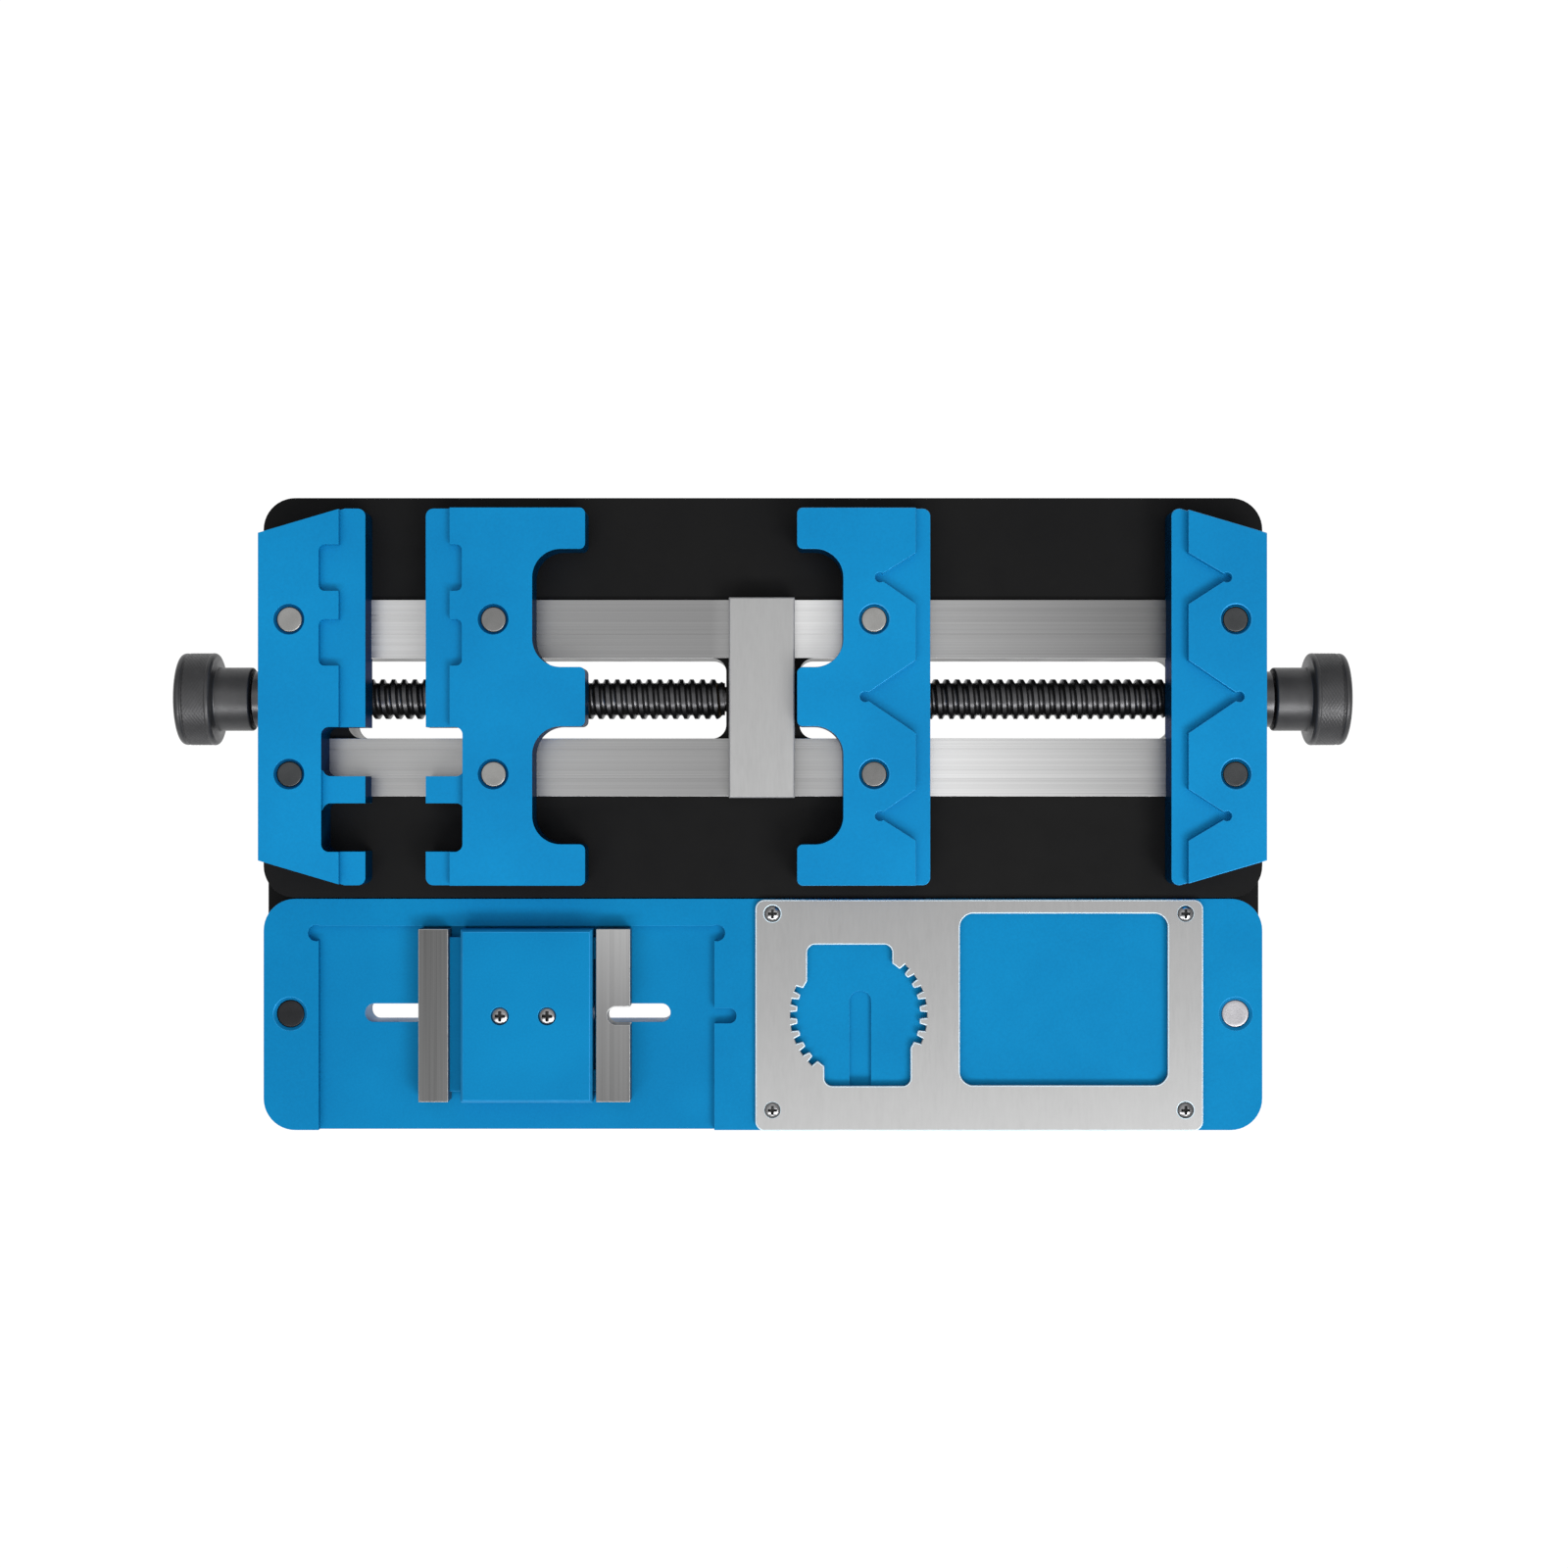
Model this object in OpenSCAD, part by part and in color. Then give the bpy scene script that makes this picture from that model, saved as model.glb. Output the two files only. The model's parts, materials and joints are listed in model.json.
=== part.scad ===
// Two-screw circuit-board holder: four jaws on a slotted base plate, two lead screws
// with a bearing block between them, and a tray with a double chip clamp in front.
// Millimetres. X runs along the screws, Y away from the user, Z up from the table.

/* [Plates] */
// Length of the base plate and of the tray
base_l = 158; // [157:0.5:159]
// Height of the rubber feet
foot_h = 1.5; // [1.3:0.1:2]
// Thickness of the bottom plate
under_t = 2; // [1.6:0.1:2.6]
// Thickness of the base plate and of the tray
base_t = 8.5; // [8.5:0.1:9.5]
// Corner radius of base plate and tray, seen from above
corner_r = 5; // [3:0.5:6]
// Height of the steel rails above the base plate
rail_up = 0.8; // [0.5:0.1:1]

/* [Jaws] */
// Height of the jaw tops above the base plate
jaw_h = 8; // [7.5:0.1:9]
// Half length of each jaw across the rails
jaw_half = 29.3; // [29:0.1:30]
// Depth of the board ledges below the jaw tops
ledge_d = 1.5; // [1:0.1:1.8]
// Diameter of the magnets in the jaws
magnet_d = 4; // [3.6:0.1:4.4]

/* [Screws] */
// Crest diameter of the lead screws
screw_d = 6.4; // [6:0.1:6.4]
// Pitch of the lead screws
pitch = 1.7; // [1.5:0.1:2]
// Diameter of the knobs
knob_d = 14.7; // [12:0.1:15]
// Diameter of the knob collars
collar_d = 10.1; // [9:0.1:11]

/* [Tray] */
// Depth of the chip floor below the tray top
floor_d = 1.5; // [1:0.1:2]
// Height of the clamp housing above the chip floor
housing_h = 5.5; // [5.3:0.1:6.5]
// Thickness of the cover plate
cover_t = 1; // [0.8:0.1:1.5]
// Depth of the pockets under the cover plate
pocket_d = 0.3; // [0.2:0.1:1]
// Number of teeth the ring window would have all round
ring_teeth = 32; // [24:1:40]

/* [Hidden] */
$fn = 64;
e = 0.1;                     // overshoot of cutting tools
yc = 18.3;                   // screw axis in Y
z0 = foot_h;                 // underside of the bottom plate
z1 = z0 + under_t;           // underside of base plate and tray
z2 = z1 + base_t;            // top of base plate and tray
zr = z2 + rail_up;           // rail tops
zj = zr + 0.3;               // underside of the moving jaws
zt = z2 + jaw_h;             // jaw tops
zl = zt - ledge_d;           // board ledges
za = z2 - 3.8;               // screw axis in Z
zf = z2 - floor_d;           // chip floor
zh = zf + housing_h;         // top of the clamp housing
zs = zf + 0.3;               // underside of the clamp sliders
zn = zj + 2;                 // top of the nut flanges
hx = base_l / 2;
slot_a = 5.8;                // base slots, inner end
slot_b = 65.6;               // base slots, outer end
slot_h = 6.35;               // base slots, half width
slot_r = 2.2;                // base slots, corner radius
rail_o = 15.5;               // outer rail edge from the axis
jaw_y = 12;                  // jaw magnets from the axis
end_mag_x = 73.4;
left_mag_x = -41.75;
right_mag_x = 17.3;
tray_mag_x = 74.8;
tray_mag_r = 2.2;
mag_l = 4;
mag_sunk = 0.4;              // below the rim of its hole
mag_r = magnet_d / 2;
cy = -31.6;                  // centre line of the tray
ring_x = 15.1;               // centre of the ring window
journal_r = 2.5;             // screw journal, inside bush and knob
bush_x = 73;                 // inner end of the outer bushes
bush_r = 3.7;
neck_r = 4.45;               // bush flange between plate and knob
neck_x = 80.9;               // outer end of that flange
shoulder_x = 6.1;            // lead screws: step up from the inner journal
thread_x = [6.2, 64.2];      // threaded stretch of the lead screws
collar_x = 81.2;             // knob: inner end of its collar
knob_x = [86.9, 93];         // knob: shoulder and outer face
set_x = 83.5;                // knob: set screw
cover_x = [1.5, 66.7];
cover_y = [-15.7, -46.7];
house_x = [-41.2, -33.8];
house_d = 1.6;               // clamp housing screws: thread, head
house_hd = 2.7;
cover_d = 1.4;               // cover plate screws: thread, head
cover_hd = 2.4;
dome = 0.35;                 // rise of their heads
arm_y = [5.4, 10.4];         // arms of the two sliders, from the centre line
arm_w = 3.4;
left_half = 12.2;            // the left slider's bar fills the gap
left_in = -46.9;             // between blade and housing
base_pts = [[-60, 44], [0, 44], [60, 44], [-60, -8.5], [0, -8.5], [60, -8.5]];
tray_pts = [[-73, -18.5], [73, -18.5], [-57, -45], [57, -45]];
feet_pts = [[-71, 42], [71, 42], [-71, -42], [71, -42]];
end_pts = [[-74, yc - 20], [-74, yc + 20], [74, yc - 20], [74, yc + 20]];
left_nut_x = -46;
right_nut_x = 14;
nut_l = 10;
blue = [0.10, 0.50, 0.75];
black = [0.12, 0.12, 0.12];
steel = [0.72, 0.72, 0.73];
dark = [0.25, 0.25, 0.26];

// ---- helpers ----

module rrect(x0, y0, x1, y1, r) {
    translate([x0 + r, y0]) square([x1 - x0 - 2 * r, y1 - y0]);
    translate([x0, y0 + r]) square([x1 - x0, y1 - y0 - 2 * r]);
    for (x = [x0 + r, x1 - r], y = [y0 + r, y1 - r]) translate([x, y]) circle(r);
}

module rect(x0, y0, x1, y1) translate([x0, y0]) square([x1 - x0, y1 - y0]);

module ext(za0, za1) translate([0, 0, za0]) linear_extrude(za1 - za0) children();

module box(x0, y0, za0, x1, y1, za1) translate([x0, y0, za0]) cube([x1 - x0, y1 - y0, za1 - za0]);

module xcyl(x0, x1, r, y = yc, z = za)
    translate([min(x0, x1), y, z]) rotate([0, 90, 0]) cylinder(h = abs(x1 - x0), r = r);

module zcyl(x, y, za0, za1, r) translate([x, y, za0]) cylinder(h = za1 - za0, r = r);

module side(s) mirror([s < 0 ? 1 : 0, 0, 0]) children();

// what fills a re-entrant corner, or is cut from an outer one, to round it
module fillet(x, y, sx, sy, r) translate([x, y]) mirror([sx < 0 ? 1 : 0, 0]) mirror([0, sy < 0 ? 1 : 0])
    difference() {
        translate([-0.5, -0.5]) square(r + 0.5);
        translate([r, r]) circle(r);
    }

// countersunk screw, head up with its rim at z = 0 and its face domed by that much
module flat_screw(d, hd, l, dome = 0) difference() {
    rotate_extrude() polygon(concat(
        dome == 0 ? [[0, 0]] : [for (k = [0, 0.2, 0.4, 0.6, 0.8]) [k * hd / 2, dome * (1 - k * k)]],
        [[hd / 2, 0], [hd / 2, -0.15], [d / 2, -0.15 - (hd - d) / 2], [d / 2, -l], [0, -l]]));
    for (a = [0, 90]) rotate(a)
        translate([-hd * 0.3, -hd * 0.09, -d * 0.4]) cube([hd * 0.6, hd * 0.18, 2 * d]);
}

module flat_hole(d, hd, l) {
    c = 0.05;
    rotate_extrude() polygon([[0, 1], [hd / 2 + c, 1], [hd / 2 + c, -0.2], [d / 2 + c, -0.2 - (hd - d) / 2],
        [d / 2 + c, -l - 0.4], [0, -l - 0.4]]);
}

module up(x, y, z) translate([x, y, z]) children();
module down(x, y, z) translate([x, y, z]) mirror([0, 0, 1]) children();

// hole for a pressed-in magnet, with a chamfered rim
module magnet_hole(x, y, z, r, rim) {
    zcyl(x, y, z - mag_sunk - mag_l, z + e, r);
    translate([x, y, z - mag_sunk]) cylinder(h = mag_sunk + e, r1 = r, r2 = r + rim + e);
}

module magnet(x, y, z, r) zcyl(x, y, z - mag_sunk - mag_l, z - mag_sunk, r - 0.03);

// box with all four top edges chamfered
module topped(x0, y0, za0, x1, y1, za1, c) intersection() {
    translate([x0, 0, 0]) rotate([90, 0, 90]) linear_extrude(x1 - x0)
        polygon([[y0, za0], [y1, za0], [y1, za1 - c], [y1 - c, za1], [y0 + c, za1], [y0, za1 - c]]);
    translate([0, y1, 0]) rotate([90, 0, 0]) linear_extrude(y1 - y0)
        polygon([[x0, za0], [x1, za0], [x1, za1 - c], [x1 - c, za1], [x0 + c, za1], [x0, za1 - c]]);
}

// ---- base ----

module under_plate() color(black) difference() {
    ext(z0, z1) rrect(-80, -50, 80, 50, 6);
    ext(z0 - e, z1 + e) {
        for (s = [-1, 1]) side(s) rrect(slot_a, yc - slot_h, slot_b, yc + slot_h, slot_r);
        rrect(-63.5, cy - 1.7, -50.7, cy + 1.7, 1.6);
        rrect(-26.8, cy - 1.7, -14.4, cy + 1.7, 1.6);
    }
    for (p = concat(base_pts, tray_pts)) down(p.x, p.y, z0) flat_hole(3, 5.6, 7);
}

module rubber_feet() color(dark) for (p = feet_pts) zcyl(p.x, p.y, 0, z0, 5);

module under_plate_screws() color(steel)
    for (p = concat(base_pts, tray_pts)) down(p.x, p.y, z0) flat_screw(3, 5.6, 7);

module base_plate() color(black) difference() {
    ext(z1, z2) rrect(-hx, -13.2, hx, 50, corner_r);
    for (s = [-1, 1]) side(s) {
        ext(z1 - e, z2 + e) rrect(slot_a, yc - slot_h, slot_b, yc + slot_h, slot_r);
        xcyl(bush_x, hx + e, bush_r);
        xcyl(slot_b - 1, bush_x + e, 2.9);
        xcyl(2, slot_a + 1, 3.5);
    }
    for (m = [0, 1]) translate([0, yc, 0]) mirror([0, m, 0])
        box(-69.6, slot_h, zr - 2, 69.6, rail_o + 0.05, z2 + e);
    for (p = base_pts) zcyl(p.x, p.y, z1 - e, z0 + 7.4, 1.55);
    for (p = end_pts) down(p.x, p.y, z1) flat_hole(3, 5.6, 13);
    for (s = [-1, 1]) down(0, yc + s * 11, z1) flat_hole(2.5, 4.6, 11.4);
}

module rail() color(steel) difference() {
    box(-69.5, slot_h, zr - 2, 69.5, rail_o, zr);
    zcyl(0, 11, zr - 2 - e, zr + e, 1.35);
}

module rear_rail() translate([0, yc, 0]) rail();
module front_rail() translate([0, yc, 0]) mirror([0, 1, 0]) rail();

module centre_block() color(steel) difference() {
    union() {
        topped(-5.3, yc - 15.7, zr, 5, yc + 15.7, z2 + 4, 0.2);
        box(-5, yc - slot_h + 0.1, z2, 4.8, yc + slot_h - 0.1, zr + 1);
    }
    for (s = [-1, 1]) zcyl(0, yc + s * 11, zr - e, z1 + 11.8, 1.3);
}

module centre_block_screws() color(steel)
    for (s = [-1, 1]) down(0, yc + s * 11, z1) flat_screw(2.5, 4.6, 11.4);

// plate of an end jaw with slanted outer corners and rounded inner ones
module end_jaw_blank(x_out, x_in) difference() {
    s = sign(x_out);
    polygon([[x_out, yc - 25.4], [s * 65, yc - jaw_half], [x_in, yc - jaw_half],
        [x_in, yc + jaw_half], [s * 65, yc + jaw_half], [x_out, yc + 25.4]]);
    for (m = [-1, 1]) fillet(x_in, yc + m * jaw_half, s, -m, 1.2);
}

module end_jaw_under(x0, x1) {
    for (m = [0, 1]) translate([0, yc, 0]) mirror([0, m, 0])
        box(x0, slot_h - 0.1, z2 - e, x1, rail_o + 0.1, zr);
    for (p = end_pts) zcyl(p.x, p.y, z2 - e, z1 + 13.4, 1.55);
}

module left_end_jaw() color(blue) difference() {
    ext(z2, zt) difference() {
        end_jaw_blank(-78.2, -61.8);
        rrect(-68.4, yc - 12.33, -57, yc - 4.7, 1.2);
        rrect(-68.4, yc - 24.07, -57, yc - 16.54, 1.2);
    }
    ext(zl, zt + e) {
        rect(-65.7, yc - 32, -61, yc + 32);
        rrect(-68.8, yc + 16.4, -63, yc + 23.6, 0.9);
        rrect(-68.8, yc + 4.8, -63, yc + 12, 0.9);
        rect(-68.4, yc - 17.5, -63, yc - 11.5);
    }
    end_jaw_under(-69.7, -61);
    for (s = [-1, 1]) magnet_hole(-end_mag_x, yc + s * jaw_y, zt, mag_r, 0.4);
}

// three V pockets opening towards the board, the outer two tilted
module vees(xw, d) {
    dir = sign(d);
    for (m = [-1, 1]) {
        polygon([[xw - dir, yc + m * 13.7], [xw + d, yc + m * 18.5], [xw - dir, yc + m * 22.9]]);
        translate([xw + d - dir * 0.4, yc + m * 18.5]) circle(0.75);
    }
    polygon([[xw - dir, yc - 6.3], [xw + dir * 8.3, yc], [xw - dir, yc + 6.3]]);
    translate([xw + dir * 7.9, yc]) circle(0.8);
}

module right_end_jaw() color(blue) difference() {
    ext(z2, zt) end_jaw_blank(78.2, 63.6);
    ext(zl, zt + e) {
        rect(63, yc - 32, 66, yc + 32);
        vees(66, 6.4);
    }
    end_jaw_under(63, 69.7);
    for (s = [-1, 1]) magnet_hole(end_mag_x, yc + s * jaw_y, zt, mag_r, 0.4);
}

module end_jaw_screws() color(steel) for (p = end_pts) down(p.x, p.y, z1) flat_screw(3, 5.6, 13);

module end_jaw_magnets() color(steel)
    for (x = [-end_mag_x, end_mag_x], s = [-1, 1]) magnet(x, yc + s * jaw_y, zt, mag_r);

// ---- lead screws ----

module outer_bushes() color(dark) for (s = [-1, 1]) side(s) difference() {
    union() {
        xcyl(bush_x, hx, bush_r);
        xcyl(hx, neck_x, neck_r);
    }
    xcyl(bush_x - 3, hx + 6, journal_r + 0.05);
}

module inner_bushes() color([0.7, 0.5, 0.25]) for (s = [-1, 1]) side(s) difference() {
    xcyl(2.2, slot_a, 3.5);
    xcyl(1, 8, 2.05);
}

// ring grooves at the thread's own pitch stand for the helix
module lead_screw() {
    rc = screw_d / 2;
    rr = rc - 0.6;
    rj = journal_r;
    end = knob_x[1] - 2.5;
    flank = 0.36;
    n = floor((thread_x[1] - thread_x[0]) / pitch);
    thread = [for (i = [0 : n - 1], k = [0 : 3])
        [k == 0 || k == 3 ? rr : rc, thread_x[0] + i * pitch + k * flank]];
    color(dark) translate([0, yc, za]) rotate([0, 90, 0]) rotate_extrude()
        polygon(concat([[0, 2.6], [1.7, 2.6], [2, 2.9], [2, shoulder_x], [rr, shoulder_x]], thread,
            [[rr, 64.5], [rc, 64.5], [rc, 65.25], [rj, 65.25], [rj, end], [0, end]]));
}

module knob() {
    rk = knob_d / 2;
    rh = collar_d / 2;
    rb = journal_r + 0.02;
    a = collar_x;
    b = knob_x[0];
    c = knob_x[1];
    color(dark) difference() {
        translate([0, yc, za]) rotate([0, 90, 0]) rotate_extrude()
            polygon([[rb, a], [rh - 0.3, a], [rh, a + 0.3], [rh, b], [rk - 0.6, b], [rk, b + 0.6],
                [rk, c - 1.2], [rk - 0.7, c - 0.6], [rk - 3, c - 0.15], [0, c],
                [0, c - 2.4], [rb, c - 2.4]]);
        zcyl(set_x, yc, za - 8, za - 2, 1.5);
    }
}

module set_screw() color(steel) difference() {
    zcyl(set_x, yc, za - 4.7, za - journal_r - 0.02, 1.47);
    translate([set_x, yc, za - 4.8]) cylinder(h = 1.2, r = 0.8, $fn = 6);
}

module left_lead_screw() side(-1) lead_screw();
module right_lead_screw() lead_screw();
module left_knob() side(-1) knob();
module right_knob() knob();
module left_set_screw() side(-1) set_screw();
module right_set_screw() set_screw();

// ---- moving jaws ----

// flanged nut block: the stem runs in the base slot, the flange sits in the jaw's underside
module nut(x) color([0.75, 0.6, 0.3]) difference() {
    union() {
        box(x, yc - 6.05, z1 + 0.7, x + nut_l, yc + 6.05, zj + 0.5);
        box(x, yc - 11, zj, x + nut_l, yc + 11, zn);
    }
    xcyl(x - 1, x + nut_l + 1, screw_d / 2 + 0.05);
    for (p = nut_pts(x)) down(p.x, p.y, zj) flat_hole(2, 3.6, 4.4);
}

function nut_pts(x) = [for (i = [0, 1], s = [-1, 1]) [x + 2.3 + i * (nut_l - 4.6), yc + s * 8.6]];

module nut_screws(x) color(steel) for (p = nut_pts(x)) down(p.x, p.y, zj) flat_screw(2, 3.6, 4.4);

module nut_seat(x) {
    box(x, yc - 11, zj - e, x + nut_l, yc + 11, zn);
    for (p = nut_pts(x)) zcyl(p.x, p.y, zn - e, zj + 4.8, 1.05);
}

// body with a middle boss and two end arms on one side, its notches filleted
module slide_blank(x_far, x_web, x_tip) {
    d = sign(x_tip - x_web);
    xa = min(x_far, x_web);
    xb = max(x_far, x_web);
    rrect(xa, yc - jaw_half, xb, yc + jaw_half, 1.2);
    for (b = [[-jaw_half, -22.9], [-4.6, 4.6], [22.9, jaw_half]])
        rrect(min(x_web - 3 * d, x_tip), yc + b[0], max(x_web - 3 * d, x_tip), yc + b[1], 0.9);
    for (s = [-1, 1]) {
        fillet(x_web, yc + s * 4.6, d, s, 4.4);
        fillet(x_web, yc + s * 22.9, d, -s, 4.4);
    }
}

module left_slide_jaw() color(blue) difference() {
    ext(zj, zt) difference() {
        slide_blank(-52.4, -35.7, -27.5);
        rrect(-56, yc - 12.33, -46.5, yc - 4.7, 1.2);
        rrect(-56, yc - 24.07, -46.5, yc - 16.54, 1.2);
    }
    ext(zl, zt + e) {
        rect(-53, yc - 32, -48.5, yc + 32);
        rrect(-51, yc + 16.4, -46.6, yc + 23.6, 0.9);
        rrect(-51, yc + 4.8, -46.6, yc + 12, 0.9);
        rect(-51, yc - 17.5, -46.5, yc - 11.5);
    }
    nut_seat(left_nut_x);
    for (s = [-1, 1]) magnet_hole(left_mag_x, yc + s * jaw_y, zt, mag_r, 0.4);
}

module right_slide_jaw() color(blue) difference() {
    ext(zj, zt) slide_blank(26.1, 12.5, 5.35);
    ext(zl, zt + e) {
        rect(23.8, yc - 32, 27, yc + 32);
        vees(23.8, -6);
    }
    nut_seat(right_nut_x);
    for (s = [-1, 1]) magnet_hole(right_mag_x, yc + s * jaw_y, zt, mag_r, 0.4);
}

module left_nut() nut(left_nut_x);
module right_nut() nut(right_nut_x);
module left_nut_screws() nut_screws(left_nut_x);
module right_nut_screws() nut_screws(right_nut_x);
module left_jaw_magnets() color(steel) for (s = [-1, 1]) magnet(left_mag_x, yc + s * jaw_y, zt, mag_r);
module right_jaw_magnets() color(steel) for (s = [-1, 1]) magnet(right_mag_x, yc + s * jaw_y, zt, mag_r);

// ---- tray ----

module ring_window(grow, teeth) translate([ring_x, cy - 0.1]) {
    circle(9.7 + grow);
    rrect(-8.1 - grow, 0, 5.3 + grow, 11.1 + grow, 1.3);
    rrect(-5.4 - grow, -11.2 - grow, 8.2 + grow, 0, 1.3);
    if (teeth) for (k = [-2 : 4], h = [0, 180]) rotate(h + k * 360 / ring_teeth)
        polygon([[9, -0.6], [10.8, -0.44], [10.8, 0.44], [9, 0.6]]);
}

module tray() color(blue) difference() {
    ext(z1, z2) rrect(-hx, -50, hx, -13.4, corner_r);
    ext(zf, z2 + e) {
        rect(-70.3, -51, -7.7, -17.7);
        for (x = [-70.7, -7.3]) translate([x, -18.8]) circle(1.3);
        rrect(-12, cy - 1.5, -4.2, cy + 0.9, 1.15);
    }
    ext(z1 - e, z2 + e) {
        rrect(-63.2, cy - 1.4, -51, cy + 1.5, 1.4);
        rrect(-26.5, cy - 1.4, -14.7, cy + 1.5, 1.4);
    }
    ext(z2 - pocket_d, z2 + e) {
        ring_window(1.4, false);
        rrect(30.9, -43, 64.1, -15.5, 2.4);
    }
    ext(z2 - pocket_d - 0.8, z2) rrect(13.7, -44, 17.1, -28, 1.6);
    for (x = [-tray_mag_x, tray_mag_x]) magnet_hole(x, cy, z2, tray_mag_r, 0.5);
    for (x = house_x) zcyl(x, cy, zf - 4, zf + e, house_d / 2 + 0.05);
    for (x = cover_x, y = cover_y) zcyl(x, y, z2 - 4.4, z2 + e, cover_d / 2 + 0.05);
    for (p = tray_pts) zcyl(p.x, p.y, z1 - e, z0 + 7.4, 1.55);
}

module tray_magnets() color(steel) for (x = [-tray_mag_x, tray_mag_x]) magnet(x, cy, z2, tray_mag_r);

module clamp_housing() color(blue) difference() {
    topped(-47.4, cy - 13.6, zf, -26.7, cy + 13.6, zh, 0.4);
    box(-48, cy - left_half - 0.3, zf - e, left_in + 0.3, cy + left_half + 0.3, zs + 2.3);
    for (m = [-1, 1]) {
        y0 = cy + m * arm_y[0];
        y1 = cy + m * arm_y[1];
        w = arm_w / 2 + 0.35;
        box(-45.4, y0 - w, zf - e, -29.4, y0 + w, zf + 4.6);
        box(-48, y0 - w, zf - e, -45, y0 + w, zs + 2.3);
        box(-44.7, y1 - w, zf - e, -28.7, y1 + w, zf + 4.6);
        box(-29, y1 - w, zf - e, -26, y1 + w, zs + 2.3);
    }
    for (x = house_x) up(x, cy, zh - 0.3) flat_hole(house_d, house_hd, housing_h + 3);
}

module clamp_housing_screws() color(steel)
    for (x = house_x) up(x, cy, zh - 0.3) flat_screw(house_d, house_hd, housing_h + 3, dome);

// U-shaped slider: a bar under the blade and two arms with a raised end that the spring pushes on
module slider(x_bar, x_in, x_end, y, half) {
    d = sign(x_end - x_in);
    color(blue) {
        box(min(x_bar, x_in), cy - half, zs, max(x_bar, x_in), cy + half, zs + 2);
        for (m = [-1, 1]) {
            box(min(x_in - d * 0.5, x_end), cy + m * y - arm_w / 2, zs,
                max(x_in - d * 0.5, x_end), cy + m * y + arm_w / 2, zs + 2);
            box(min(x_end - d * 1.2, x_end), cy + m * y - arm_w / 2, zs + 1,
                max(x_end - d * 1.2, x_end), cy + m * y + arm_w / 2, zs + 3.9);
        }
    }
}

module left_slider() slider(-53, left_in, -33.4, arm_y[0], left_half);
module right_slider() slider(-24.6, -26.2, -41.7, arm_y[1], arm_y[1] + arm_w / 2);

module left_blade() color([0.45, 0.45, 0.46]) difference() {
    box(-54.1, cy - 13.6, zs, -49.4, cy + 13.6, zf + 4.5);
    box(-53, cy - left_half, zs - e, -49, cy + left_half, zs + 2);
}

module right_blade() color([0.55, 0.55, 0.56]) difference() {
    box(-26.2, cy - 13.6, zs, -20.8, cy + 13.6, zf + 4.5);
    ext(zf, zh) rrect(-24.4, cy - 1.4, -16, cy + 1.4, 1.35);
    box(-27, cy - arm_y[1] - arm_w / 2, zs - e, -24.6, cy + arm_y[1] + arm_w / 2, zs + 2);
}

// corrugated sleeves at the springs' own size stand for the coils
module sleeve(x, y, l) {
    n = 10;
    pts = [for (i = [0 : n - 1], k = [0, 1]) [k == 0 ? 0.7 : 0.9, (i + 0.25 + 0.5 * k) * l / n]];
    translate([x, y, zs + 3]) rotate([0, 90, 0]) rotate_extrude()
        polygon(concat([[0.5, 0.05], [0.7, 0.05]], pts, [[0.7, l - 0.05], [0.5, l - 0.05]]));
}

module left_blade_springs() color(steel) for (m = [-1, 1]) sleeve(-45.4, cy + m * arm_y[0], 10.8);
module right_blade_springs() color(steel) for (m = [-1, 1]) sleeve(-40.5, cy + m * arm_y[1], 11.8);

module cover_plate() color(steel) difference() {
    ext(z2, z2 + cover_t) difference() {
        rrect(-1.2, -50, 69.5, -13.5, 1.5);
        rrect(31.1, -42.8, 63.9, -15.7, 2.2);
        ring_window(0, true);
    }
    for (x = cover_x, y = cover_y) up(x, y, z2 + cover_t) flat_hole(cover_d, cover_hd, 5);
}

module cover_plate_screws() color(steel)
    for (x = cover_x, y = cover_y) up(x, y, z2 + cover_t) flat_screw(cover_d, cover_hd, 5, dome);

under_plate();
rubber_feet();
under_plate_screws();
base_plate();
rear_rail();
front_rail();
centre_block();
centre_block_screws();
left_end_jaw();
right_end_jaw();
end_jaw_screws();
end_jaw_magnets();
outer_bushes();
inner_bushes();
left_lead_screw();
left_knob();
left_set_screw();
right_lead_screw();
right_knob();
right_set_screw();
left_slide_jaw();
left_nut();
left_nut_screws();
left_jaw_magnets();
right_slide_jaw();
right_nut();
right_nut_screws();
right_jaw_magnets();
tray();
tray_magnets();
clamp_housing();
clamp_housing_screws();
left_blade();
left_slider();
left_blade_springs();
right_blade();
right_slider();
right_blade_springs();
cover_plate();
cover_plate_screws();
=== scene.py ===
import json
import math

import bmesh
import bpy
from mathutils import Matrix, Vector

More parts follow.
